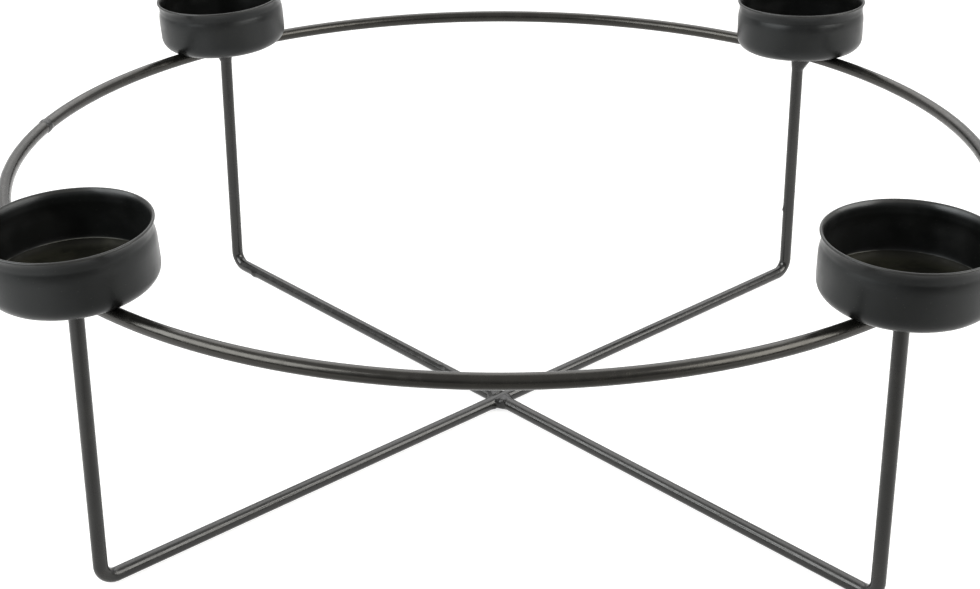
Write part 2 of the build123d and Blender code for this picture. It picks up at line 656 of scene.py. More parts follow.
class SubAssembly:
    """Pieces of the object that share a material slot.

    Attributes:
        slot: The record's slot that their finishes stand for; the pieces are not given it here.
    """

    slot: ClassVar[Slot]

    def dress(self, name: str, shape: Shape, node: str, *finishes: Material) -> None:
        """Set a finished shape in the place of its CAD node, riding on the part.

        Args:
            name: The piece's name.
            shape: The shape in its place; it is freed.
            node: The CAD node that the piece stands for.
            finishes: The piece's coats, in the order of their numbers on the shape.
        """
        for face in shape.faces:
            face.smooth = True
        piece = add_mesh(name, shape, *finishes)
        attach(piece, BODY)
        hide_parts(node)
        log.info("%s: %d faces", name, len(piece.data.polygons))


class Stretch(Enum):
    """The two straight stretches of a leg's wire."""

    LEG = "leg"
    ARM = "arm"


@dataclass(frozen=True)
class CoatFlaw:
    """A drip or burr under the coat of a leg's wire.

    Attributes:
        corner: The leg that it is on.
        stretch: The stretch of the wire that it is on.
        distance: How far it is from the foot's corner.
        side: Direction out of the wire there.
        reach: Radius of its foot.
        height: How far it stands out.
    """

    corner: Corner
    stretch: Stretch
    distance: float
    side: Vector
    reach: float
    height: float


@dataclass
class WireFrame(SubAssembly):
    """The ring, the long bow and the two short legs, all of one round wire.

    Attributes:
        leg_splay: How much wider the feet stand than the ring.
        foot_bend_radius: Radius of a foot's bend on the wire's centreline.
        butt_gap: Gap at a wire's end, which a weld fills.
        sides: Sides of the wire's round section.
        ring_steps: Steps round the ring.
        bend_steps: Steps in a foot's bend.
        run_step: Length of one step on a straight run.
        flaws: The drips and burrs under the coat.
        wire_radius: Radius of the wire.
        ring_radius: Radius of the ring's centreline.
        ring_height: Height of the ring's centreline.
    """

    slot: ClassVar[Slot] = Slot.WIRE

    leg_splay: float = 2.2 * MM
    foot_bend_radius: float = 4.8 * MM
    butt_gap: float = 0.1 * MM
    sides: int = 36
    ring_steps: int = 288
    bend_steps: int = 14
    run_step: float = 0.9 * MM
    flaws: tuple[CoatFlaw, ...] = (
        CoatFlaw(
            corner=Corner.BACK_RIGHT,
            stretch=Stretch.LEG,
            distance=26.0 * MM,
            side=Vector((-1.0, -0.3, 0.0)),
            reach=1.3 * MM,
            height=0.5 * MM,
        ),
        CoatFlaw(
            corner=Corner.BACK_LEFT,
            stretch=Stretch.ARM,
            distance=12.8 * MM,
            side=Vector((-0.6, -0.6, -0.35)),
            reach=2.2 * MM,
            height=0.4 * MM,
        ),
        CoatFlaw(
            corner=Corner.BACK_LEFT,
            stretch=Stretch.ARM,
            distance=124.5 * MM,
            side=Vector((-0.2, -0.2, 1.0)),
            reach=1.2 * MM,
            height=0.35 * MM,
        ),
        CoatFlaw(
            corner=Corner.FRONT_LEFT,
            stretch=Stretch.ARM,
            distance=148.5 * MM,
            side=Vector((0.7, -0.7, -0.4)),
            reach=1.4 * MM,
            height=0.55 * MM,
        ),
    )
    wire_radius: float = field(init=False)
    ring_radius: float = field(init=False)
    ring_height: float = field(init=False)

    def __post_init__(self) -> None:
        """Read the wire's and the ring's sizes from the CAD ring."""
        low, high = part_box("ring_wire")
        self.wire_radius = (high.z - low.z) / 2
        self.ring_height = (high.z + low.z) / 2
        self.ring_radius = (high.y - low.y) / 2 - self.wire_radius

    @property
    def foot_radius(self) -> float:
        """Distance of a foot's corner from the part's axis."""
        return self.ring_radius + self.leg_splay

    def ring_point(self, corner: Corner) -> Vector:
        """The ring's centreline over a leg."""
        return corner.outward * self.ring_radius + UP * self.ring_height

    def foot_point(self, corner: Corner) -> Vector:
        """The corner where a leg's centreline meets its floor arm's."""
        return corner.outward * self.foot_radius + UP * self.wire_radius

    def leg_direction(self, corner: Corner) -> Vector:
        """Direction of a leg, from its foot to the ring."""
        return (self.ring_point(corner) - self.foot_point(corner)).normalized()

    def leg_top(self, corner: Corner) -> Vector:
        """The end of a leg under the ring."""
        return self.ring_point(corner) - self.leg_direction(corner) * (self.wire_radius + self.butt_gap)

    def build(self, finish: Material, ring_finish: Material) -> None:
        """Make the frame's four wires.

        Args:
            finish: The coat of the legs and arms.
            ring_finish: The ring's coat, browner from handling.
        """
        self.dress("ring", self.ring(), "ring_wire", ring_finish)
        near, far = Corner.FRONT_LEFT, Corner.BACK_RIGHT
        bow_line = [self.leg_top(near), self.foot_point(near), self.foot_point(far), self.leg_top(far)]
        bow = self.bent_wire(bow_line)
        self.blemish(bow, (near, far))
        self.dress("bow", bow, "long_leg_bow", finish)
        for corner in (Corner.FRONT_RIGHT, Corner.BACK_LEFT):
            arm_end = corner.outward * (self.wire_radius + self.butt_gap) + UP * self.wire_radius
            leg = self.bent_wire([self.leg_top(corner), self.foot_point(corner), arm_end])
            self.blemish(leg, (corner,))
            self.dress(f"leg_{corner.label}", leg, f"{corner.label}_leg", finish)

    def blemish(self, shape: Shape, corners: tuple[Corner, ...]) -> None:
        """Raise the drips and burrs under a wire's coat.

        Args:
            shape: The wire in its place.
            corners: The legs that it makes.
        """
        for flaw in self.flaws:
            if flaw.corner in corners:
                runs = {Stretch.LEG: self.leg_direction(flaw.corner), Stretch.ARM: -flaw.corner.outward}
                run = runs[flaw.stretch]
                out = (flaw.side - run * flaw.side.dot(run)).normalized()
                peak = self.foot_point(flaw.corner) + run * flaw.distance + out * self.wire_radius
                raise_bump(shape, peak, flaw.reach, flaw.height)

    def ring(self) -> Shape:
        """The ring, its round section spun about the part's axis.

        Returns:
            The closed ring.
        """
        shape = bmesh.new()
        seat = Matrix.Translation((self.ring_radius, 0.0, self.ring_height)) @ STAND_UPRIGHT
        section = bmesh.ops.create_circle(
            shape, segments=self.sides, radius=self.wire_radius, matrix=seat
        )["verts"]
        spin_round(shape, section + loop_edges(section), self.ring_steps)
        return shape

    def bent_wire(self, points: list[Vector]) -> Shape:
        """Round wire along straight runs that are joined by foot bends.

        Args:
            points: The ends of the runs on the centreline, with a bend at all but the first and the last.

        Returns:
            The closed wire.
        """
        shape = bmesh.new()
        headings = [(after - before).normalized() for before, after in zip(points, points[1:])]
        seat = Matrix.Translation(points[0]) @ headings[0].to_track_quat("Z", "Y").to_matrix().to_4x4()
        section = bmesh.ops.create_circle(
            shape, cap_ends=True, segments=self.sides, radius=self.wire_radius, matrix=seat
        )["verts"]
        here = points[0]
        for corner, heading, turned in zip(points[1:], headings, headings[1:]):
            turn = heading.angle(turned)
            setback = self.foot_bend_radius * math.tan(turn / 2)
            bend_start = corner - heading * setback
            section = self.run(shape, section, bend_start - here)
            hinge = heading.cross(turned).normalized()
            bend_centre = bend_start + hinge.cross(heading) * self.foot_bend_radius
            section = self.bend(shape, section, bend_centre, hinge, turn)
            here = corner + turned * setback
        section = self.run(shape, section, points[-1] - here)
        bmesh.ops.edgeloop_fill(shape, edges=loop_edges(section))
        close_up(shape)
        return shape

    def run(self, shape: Shape, section: list[Point], move: Vector) -> list[Point]:
        """Draw the wire straight on.

        Args:
            shape: The wire so far.
            section: Its last round section.
            move: The run's direction and length.

        Returns:
            The run's last section.
        """
        steps = max(1, round(move.length / self.run_step))
        for _ in range(steps):
            drawn = bmesh.ops.extrude_edge_only(shape, edges=loop_edges(section))["geom"]
            section = points_among(drawn)
            bmesh.ops.translate(shape, verts=section, vec=move / steps)
        return section

    def bend(
        self, shape: Shape, section: list[Point], centre: Vector, hinge: Vector, turn: float
    ) -> list[Point]:
        """Bend the wire on.

        Args:
            shape: The wire so far.
            section: Its last round section.
            centre: Centre of the bend.
            hinge: Axis of the bend.
            turn: How far the wire turns.

        Returns:
            The bend's last section.
        """
        outline = section + loop_edges(section)
        bent = bmesh.ops.spin(
            shape, geom=outline, cent=centre, axis=hinge, angle=turn, steps=self.bend_steps
        )["geom_last"]
        return points_among(bent)


def section_point(reach: float, height: float) -> Vector:
    """A point of a half section, by its distance from the upright axis and its height."""
    return Vector((reach, 0.0, height))


class SheetPen:
    """Draws a turned piece's half section, in its own upright plane, as runs and bends.

    Attributes:
        AXIS: Axis of the bends, square to the section's plane.
        shape: The shape that takes the line.
        tip: The point where the pen stands.
    """

    AXIS: ClassVar[Vector] = Vector((0.0, -1.0, 0.0))

    def __init__(self, shape: Shape, start: Vector) -> None:
        """Set the pen down.

        Args:
            shape: The shape that takes the line.
            start: Where the line begins.
        """
        self.shape = shape
        self.tip = bmesh.ops.create_vert(shape, co=start)["vert"][0]

    def run_to(self, place: Vector, steps: int) -> None:
        """Draw a straight line.

        Args:
            place: Where it ends.
            steps: How many edges it has.
        """
        move = (place - self.tip.co) / steps
        for _ in range(steps):
            self.tip = bmesh.ops.extrude_vert_indiv(self.shape, verts=[self.tip])["verts"][0]
            bmesh.ops.translate(self.shape, verts=[self.tip], vec=move)

    def bend(self, centre: Vector, turn: float, steps: int) -> None:
        """Draw an arc.

        Args:
            centre: The arc's centre.
            turn: How far it goes round, counter-clockwise where that is positive.
            steps: How many edges it has.
        """
        drawn = bmesh.ops.spin(
            self.shape, geom=[self.tip], cent=centre, axis=self.AXIS, angle=turn, steps=steps
        )["geom_last"]
        self.tip = points_among(drawn)[0]


@dataclass(frozen=True)
class Lean:
    """How a hand-welded cup stands on the ring.

    Attributes:
        angle: Its lean, in degrees.
        bearing: Bearing of its lowered side, in degrees.
        slip: How far it slipped to the right before it was welded.
    """

    angle: float
    bearing: float
    slip: float = 0.0

    def turn(self) -> Matrix:
        """The turn that brings an upright cup to this lean."""
        return Matrix.Rotation(math.radians(self.angle), 3, UP.cross(level_direction(self.bearing)))


CUP_LEANS = {
    Corner.BACK_RIGHT: Lean(angle=1.9, bearing=145.0),
    Corner.BACK_LEFT: Lean(angle=3.1, bearing=215.0),
    Corner.FRONT_LEFT: Lean(angle=3.1, bearing=230.0, slip=0.55 * MM),
    Corner.FRONT_RIGHT: Lean(angle=1.1, bearing=270.0),
}


@dataclass
class CandleCup(SubAssembly):
    """One pressed sheet cup: rounded base corner, wall, shoulder, straight neck and flared rim.

    Attributes:
        corner: The corner that it stands over.
        lean: How it stands on the ring.
        sheet: Thickness of the sheet.
        corner_radius: Outer radius of the base corner.
        neck_depth: How far the neck draws in from the wall.
        neck_length: Length of the straight neck.
        shoulder_height: Height of the shoulder.
        hollow_share: Share of the shoulder's hollow bend under the neck; the rest bulges into the wall.
        flare_radius: Radius of the rim's flare on the sheet's outer face.
        flare_turn: How far the rim flares.
        dent_height: How far the sheet strays from round.
        dent_grain: Size of one dent.
        turns: Steps round the cup.
        bend_steps: Steps in one bend of the section.
        run_steps: Steps in one straight run of the section.
        floor_height: Height over the base up to which the inside is floor.
        mark_height: Height over the base up to which the inside keeps its rise.
        elsewhere: The rise that all other points keep, far over every mark.
        worn_share: How much of the lip's paler colour, from wear and a painted highlight, the lip takes.
        height: Height of the upright cup.
        neck_radius: Outer radius of the neck.
        wall_radius: Outer radius of the wall.
        seat: Middle of the upright cup's base.
    """

    slot: ClassVar[Slot] = Slot.CUP

    corner: Corner
    lean: Lean
    sheet: float = 0.8 * MM
    corner_radius: float = 4.4 * MM
    neck_depth: float = 0.49 * MM
    neck_length: float = 0.8 * MM
    shoulder_height: float = 3.75 * MM
    hollow_share: float = 0.2
    flare_radius: float = 3.0 * MM
    flare_turn: float = math.radians(35.0)
    dent_height: float = 0.1 * MM
    dent_grain: float = 16.0 * MM
    turns: int = 144
    bend_steps: int = 8
    run_steps: int = 6
    floor_height: float = 2.8 * MM
    mark_height: float = 6.0 * MM
    elsewhere: float = 1.0
    worn_share: float = 0.75
    height: float = field(init=False)
    neck_radius: float = field(init=False)
    wall_radius: float = field(init=False)
    seat: Vector = field(init=False)

    def __post_init__(self) -> None:
        """Read the cup's place, height and bore from the CAD cup and its mount."""
        low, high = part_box(self.node)
        mounts = {mount["name"]: mount for mount in frame["record"]["mounts"]}
        mount = mounts[f"tealight_cup_{self.corner.label}"]
        self.height = high.z - low.z
        self.neck_radius = mount["dims"]["r_mm"] * MM + self.sheet
        self.wall_radius = self.neck_radius + self.neck_depth
        self.seat = Vector((mount["pos_m"][0], mount["pos_m"][1], low.z))

    @property
    def node(self) -> str:
        """The CAD node of this cup."""
        return f"candle_cup_{self.corner.label}"

    def build(self, finish: Material, floor_finish: Material) -> None:
        """Make the cup in its place.

        Args:
            finish: The cup's coat.
            floor_finish: The browned coat of its floor inside, with painted shade towards the wall.
        """
        shape = bmesh.new()
        self.draw_section(shape)
        spin_round(shape, shape.verts[:] + shape.edges[:], self.turns)
        self.mark(shape)
        self.dent(shape)
        bmesh.ops.rotate(shape, verts=shape.verts, cent=ORIGIN, matrix=self.lean.turn())
        bmesh.ops.translate(shape, verts=shape.verts, vec=self.seat + Vector((self.lean.slip, 0.0, 0.0)))
        self.dress(f"cup_{self.corner.label}", shape, self.node, finish, floor_finish)

    def draw_section(self, shape: Shape) -> None:
        """Draw the half section from the axis out over the rim and back.

        Args:
            shape: The shape that takes it.
        """
        lip_radius = self.sheet / 2
        neck_top = self.height - lip_radius - (self.flare_radius + lip_radius) * math.sin(self.flare_turn)
        neck_bottom = neck_top - self.neck_length
        wall_top = neck_bottom - self.shoulder_height
        shoulder_radii = (self.shoulder_height**2 + self.neck_depth**2) / (2 * self.neck_depth)
        shoulder_turn = 2 * math.atan2(self.neck_depth, self.shoulder_height)
        hollow_radius = shoulder_radii * self.hollow_share
        bulge_radius = shoulder_radii - hollow_radius
        corner = section_point(self.wall_radius - self.corner_radius, self.corner_radius)
        bulge = section_point(self.wall_radius - bulge_radius, wall_top)
        hollow = section_point(self.neck_radius + hollow_radius, neck_bottom)
        flare = section_point(self.neck_radius + self.flare_radius, neck_top)

        pen = SheetPen(shape, ORIGIN)
        pen.run_to(section_point(corner.x, 0.0), self.run_steps)
        pen.bend(corner, math.pi / 2, self.bend_steps)
        pen.run_to(section_point(self.wall_radius, wall_top), self.run_steps)
        pen.bend(bulge, shoulder_turn, self.bend_steps)
        pen.bend(hollow, -shoulder_turn, self.bend_steps)
        pen.run_to(section_point(self.neck_radius, neck_top), self.run_steps)
        pen.bend(flare, -self.flare_turn, self.bend_steps)
        across = section_point(-math.cos(self.flare_turn), math.sin(self.flare_turn))
        pen.bend(pen.tip.co + across * lip_radius, math.pi, self.bend_steps)
        pen.bend(flare, self.flare_turn, self.bend_steps)
        pen.run_to(section_point(self.neck_radius - self.sheet, neck_bottom), self.run_steps)
        pen.bend(hollow, shoulder_turn, self.bend_steps)
        pen.bend(bulge, -shoulder_turn, self.bend_steps)
        pen.run_to(section_point(self.wall_radius - self.sheet, corner.z), self.run_steps)
        pen.bend(corner, -math.pi / 2, self.bend_steps)
        pen.run_to(section_point(0.0, self.sheet), self.run_steps)

    def mark(self, shape: Shape) -> None:
        """Note how high the inside stands over the base, where the lip is paler from wear and a painted
        highlight, and which faces are floor.

        Args:
            shape: The turned cup about its own axis.
        """
        rise = shape.verts.layers.float.new(CupMark.RISE.value)
        worn = shape.verts.layers.float.new(CupMark.WORN.value)
        lip_start = self.height - self.sheet
        for point in shape.verts:
            inside = point.co.z < self.mark_height and self.faces_in(point)
            point[rise] = point.co.z if inside else self.elsewhere
            # The lip is paler partly from wear and partly as a painted highlight.
            point[worn] = self.worn_share if point.co.z > lip_start else 0.0
        for face in shape.faces:
            low = face.calc_center_median().z < self.floor_height
            floor = low and all(map(self.faces_in, face.verts))
            face.material_index = (CupFace.FLOOR if floor else CupFace.WALL).value

    @staticmethod
    def faces_in(point: Point) -> bool:
        """Whether a point of the turned cup is on the sheet's inner face."""
        return point.normal.z > 0.0 or point.normal.xy.dot(point.co.xy) < 0.0

    def dent(self, shape: Shape) -> None:
        """Let the sheet stray a little from round, both of its faces alike.

        Args:
            shape: The turned cup about its own axis.
        """
        shift = Vector((self.corner.value, 0.0, 0.0))
        for point in shape.verts:
            level = point.co.xy.to_3d()
            if level.length > 0.0:
                outward = level.normalized()
                on_wall = outward * self.wall_radius + UP * point.co.z
                stray = noise.noise(on_wall / self.dent_grain + shift)
                point.co += outward * stray * self.dent_height * level.length / self.wall_radius


@dataclass(frozen=True)
class Station:
    """One loop of a weld bead.

    Attributes:
        height: Place of the loop along the bead's axis.
        ahead: Reach along the other wire, forwards.
        behind: Reach along the other wire, backwards.
        across: Half width across the other wire.
    """

    height: float
    ahead: float
    behind: float
    across: float


def bead_through(stations: list[Station], sides: int) -> Shape:
    """A closed bead bridged through its loops.

    Args:
        stations: The loops, from one end to the other.
        sides: Points in a loop.

    Returns:
        The bead about its own axis.
    """
    shape = bmesh.new()
    loops = []
    for station in stations:
        seat = Matrix.Translation(UP * station.height)
        spread = Matrix.Diagonal((station.ahead, station.across, 1.0, 1.0))
        points = bmesh.ops.create_circle(shape, segments=sides, radius=1.0, matrix=seat @ spread)["verts"]
        rear = [point for point in points if point.co.x < 0.0]
        bmesh.ops.scale(shape, verts=rear, vec=(station.behind / station.ahead, 1.0, 1.0))
        loops.append(loop_edges(points))
    bridge_row(shape, loops)
    close_up(shape)
    return shape


@dataclass(frozen=True)
class FilletSize:
    """How far a fillet weld reaches.

    Attributes:
        ahead: Along the other wire, to the left when looking out from the part's axis.
        behind: Along the other wire, to the right.
        down: Along the wire that ends there.
    """

    ahead: float
    behind: float
    down: float


@dataclass
class WeldBeads(SubAssembly):
    """The weld beads of the seam, the leg tops, the crossing and the cups.

    Attributes:
        wires: The frame that they join.
        cups: The cups that they carry.
        sides: Points in a loop of a bead.
        steps: Steps along a bead.
        lump_grain: Size of the lumps on a bead.
        lump_height: Height of the highest lump.
        flank: How far a fillet stands out past the wire's sides, across the other wire.
        flow: Power of a fillet's hollow curve along the other wire.
        toe_sink: How far a fillet's toe lies under the wire's surface.
        toe_fade: Power with which that runs out.
        mouth_share: Distance of a fillet's end from the other wire's centreline, in wire radii.
        leg_fillets: Sizes of the fillets under the ring.
        centre_fillets: Sizes of the fillets at the crossing.
        table_clearance: How far the crossing's beads stay over the table.
        spatter: Middles of the spatter on the crossing's beads.
        spatter_reach: Radius of one spatter's foot.
        spatter_height: How far it stands out.
        seam_bearing: Bearing of the ring's seam, in degrees.
        seam_half_length: Half the length of the seam's bead.
        seam_crown: How far the seam's bead stands out in its middle.
        cup_bead_half_angle: Half the angle of the ring that a cup's bead follows.
        cup_bead_radius: Radius of a cup's bead.
        cup_bead_sink: Depth of its middle line under the cup's base, in bead radii.
        cup_bead_sides: Points in a loop of a cup's bead.
        cup_bead_steps: Steps along a cup's bead.
        cup_bead_fullness: Power that keeps a cup's bead full until near its ends.
        cup_bead_end: Share of its full section that a cup's bead keeps at its ends.
        ripples: Ripples along a cup's bead.
        ripple_share: Height of the ripples, in bead radii.
    """

    slot: ClassVar[Slot] = Slot.WELD

    wires: WireFrame
    cups: list[CandleCup]
    sides: int = 32
    steps: int = 12
    lump_grain: float = 1.3 * MM
    lump_height: float = 0.1 * MM
    flank: float = 0.22 * MM
    flow: float = 1.4
    toe_sink: float = 0.16 * MM
    toe_fade: float = 5.0
    mouth_share: float = 0.5
    leg_fillets: dict[Corner, FilletSize] = field(
        default_factory=lambda: {
            Corner.BACK_RIGHT: FilletSize(ahead=0.7 * MM, behind=4.4 * MM, down=5.2 * MM),
            Corner.BACK_LEFT: FilletSize(ahead=2.6 * MM, behind=0.6 * MM, down=3.8 * MM),
            Corner.FRONT_LEFT: FilletSize(ahead=1.9 * MM, behind=1.4 * MM, down=2.6 * MM),
            Corner.FRONT_RIGHT: FilletSize(ahead=1.3 * MM, behind=2.1 * MM, down=2.8 * MM),
        }
    )
    centre_fillets: dict[Corner, FilletSize] = field(
        default_factory=lambda: {
            Corner.FRONT_RIGHT: FilletSize(ahead=2.0 * MM, behind=2.6 * MM, down=2.9 * MM),
            Corner.BACK_LEFT: FilletSize(ahead=1.9 * MM, behind=2.3 * MM, down=2.4 * MM),
        }
    )
    table_clearance: float = 0.2 * MM
    spatter: tuple[Vector, ...] = (Vector((-1.33, -3.38, 3.59)) * MM, Vector((1.21, -3.91, 3.73)) * MM)
    spatter_reach: float = 1.2 * MM
    spatter_height: float = 0.55 * MM
    seam_bearing: float = 173.0
    seam_half_length: float = 1.9 * MM
    seam_crown: float = 0.22 * MM
    cup_bead_half_angle: float = math.radians(1.75)
    cup_bead_radius: float = 0.75 * MM
    cup_bead_sink: float = 0.85
    cup_bead_sides: int = 16
    cup_bead_steps: int = 24
    cup_bead_fullness: int = 4
    cup_bead_end: float = 0.08
    ripples: int = 5
    ripple_share: float = 0.16

    def build(self, finish: Material) -> None:
        """Make every bead in its place.

        Args:
            finish: The coat over the welds.
        """
        self.dress("seam_bead", self.seam(), "ring_seam_weld", finish)
        for corner, size in self.leg_fillets.items():
            upward = self.wires.leg_direction(corner)
            seat = self.seat(self.wires.ring_point(corner), corner.along_ring, upward)
            bead = self.fillet(seat, size, corner.value)
            self.dress(f"leg_bead_{corner.label}", bead, f"leg_weld_{corner.label}", finish)
        for corner, size in self.centre_fillets.items():
            seat = self.seat(UP * self.wires.wire_radius, corner.along_ring, -corner.outward)
            bead = self.cleared(self.fillet(seat, size, -corner.value))
            for peak in self.spatter:
                raise_bump(bead, peak, self.spatter_reach, self.spatter_height)
            self.dress(f"centre_bead_{corner.label}", bead, f"centre_weld_{corner.label}", finish)
        for cup in self.cups:
            label = cup.corner.label
            self.dress(f"cup_bead_{label}", self.cup_beads(cup), f"cup_weld_{label}", finish)

    @staticmethod
    def seat(origin: Vector, along: Vector, upward: Vector) -> Matrix:
        """A bead's own frame.

        Args:
            origin: A point on the other wire's centreline.
            along: Direction of the other wire.
            upward: Direction out of the wire that ends there.

        Returns:
            The frame, with its x axis along the other wire and its z axis upward.
        """
        side = upward.cross(along).normalized()
        turn = Matrix((side.cross(upward), side, upward)).transposed()
        return Matrix.Translation(origin) @ turn.to_4x4()

    def placed(self, stations: list[Station], seat: Matrix, seed: float) -> Shape:
        """A lumpy bead through its loops.

        Args:
            stations: The loops, from one end to the other.
            seat: The bead's own frame.
            seed: Offset of its lumps.

        Returns:
            The bead in its place.
        """
        shape = bead_through(stations, self.sides)
        bmesh.ops.transform(shape, verts=shape.verts, matrix=seat)
        roughen(shape, self.lump_grain, self.lump_height, seed)
        return shape

    def fillet(self, seat: Matrix, size: FilletSize, seed: float) -> Shape:
        """Lumpy fillet round a wire's end where it meets the side of another wire.

        Args:
            seat: The bead's own frame.
            size: How far the bead reaches.
            seed: Offset of its lumps.

        Returns:
            The bead in its place.
        """
        radius = self.wires.wire_radius
        toe = -radius - size.down
        mouth = -radius * self.mouth_share
        stations = []
        for step in range(self.steps + 1):
            share = step / self.steps
            spread = share**self.flow
            inner = radius - self.toe_sink * (1 - share) ** self.toe_fade
            stations.append(
                Station(
                    height=toe + (mouth - toe) * share,
                    ahead=inner + size.ahead * spread,
                    behind=inner + size.behind * spread,
                    across=inner + self.flank * math.sin(math.pi / 2 * share),
                )
            )
        return self.placed(stations, seat, seed)

    def cleared(self, shape: Shape) -> Shape:
        """The bead with its underside dressed off, clear of the table.

        Args:
            shape: The bead in its place.

        Returns:
            The same bead, closed again.
        """
        cut = bmesh.ops.bisect_plane(
            shape,
            geom=shape.verts[:] + shape.edges[:] + shape.faces[:],
            plane_co=UP * self.table_clearance,
            plane_no=UP,
            clear_inner=True,
        )["geom_cut"]
        rim = [item for item in cut if isinstance(item, Edge)]
        bmesh.ops.edgeloop_fill(shape, edges=rim)
        close_up(shape)
        return shape

    def seam(self) -> Shape:
        """Dressed butt weld round the ring's seam.

        Returns:
            The bead in its place.
        """
        stations = []
        for step in range(self.steps + 1):
            share = 2 * step / self.steps - 1
            reach = self.wires.wire_radius + self.seam_crown * (1 - share**2)
            height = self.seam_half_length * share
            stations.append(Station(height=height, ahead=reach, behind=reach, across=reach))
        outward = level_direction(self.seam_bearing)
        origin = outward * self.wires.ring_radius + UP * self.wires.ring_height
        seat = self.seat(origin, outward, UP.cross(outward))
        return self.placed(stations, seat, math.radians(self.seam_bearing))

    def cup_beads(self, cup: CandleCup) -> Shape:
        """The two rippled beads under a cup, one on each side of the ring's wire.

        Args:
            cup: The cup that they carry.

        Returns:
            Both beads in their place.
        """
        shape = bmesh.new()
        bearing = math.radians(cup.corner.value)
        height = cup.seat.z - self.cup_bead_radius * self.cup_bead_sink
        for side in (-1.0, 1.0):
            reach = self.wires.ring_radius + side * self.wires.wire_radius
            loops = [
                self.cup_bead_loop(shape, step / self.cup_bead_steps, bearing, reach, height)
                for step in range(self.cup_bead_steps + 1)
            ]
            bridge_row(shape, loops)
        close_up(shape)
        return shape

    def cup_bead_loop(
        self, shape: Shape, share: float, bearing: float, reach: float, height: float
    ) -> list[Edge]:
        """One loop of a rippled bead that follows the ring.

        Args:
            shape: The shape that takes it.
            share: Place of the loop, from 0 at one end to 1 at the other.
            bearing: Bearing of the bead's middle, in radians.
            reach: Distance of the bead's line from the part's axis.
            height: Height of the bead's line.

        Returns:
            The loop's edges.
        """
        off_middle = 2 * share - 1
        taper = math.sqrt(max(self.cup_bead_end, 1 - off_middle**self.cup_bead_fullness))
        ripple = 1 + self.ripple_share * math.cos(2 * math.pi * self.ripples * share)
        turn = Matrix.Rotation(bearing + self.cup_bead_half_angle * off_middle, 4, "Z")
        points = bmesh.ops.create_circle(
            shape,
            segments=self.cup_bead_sides,
            radius=self.cup_bead_radius * taper * ripple,
            matrix=turn @ Matrix.Translation((reach, 0.0, height)) @ STAND_UPRIGHT,
        )["verts"]
        return loop_edges(points)


@dataclass(frozen=True)
class SoftBox:
    """One large soft lamp.

    Attributes:
        label: The lamp's name.
        bearing: Bearing of the lamp from the object, in degrees.
        rise: Its height angle, in degrees.
        distance: Distance of its face from the object.
        width: Width of its face.
        height: Height of its face.
        brightness: Brightness of its face, where white paper in full light is 1.
        tone: Colour of its light.
    """

    label: str
    bearing: float
    rise: float
    distance: float
    width: float
    height: float
    brightness: float
    tone: Colour = WHITE


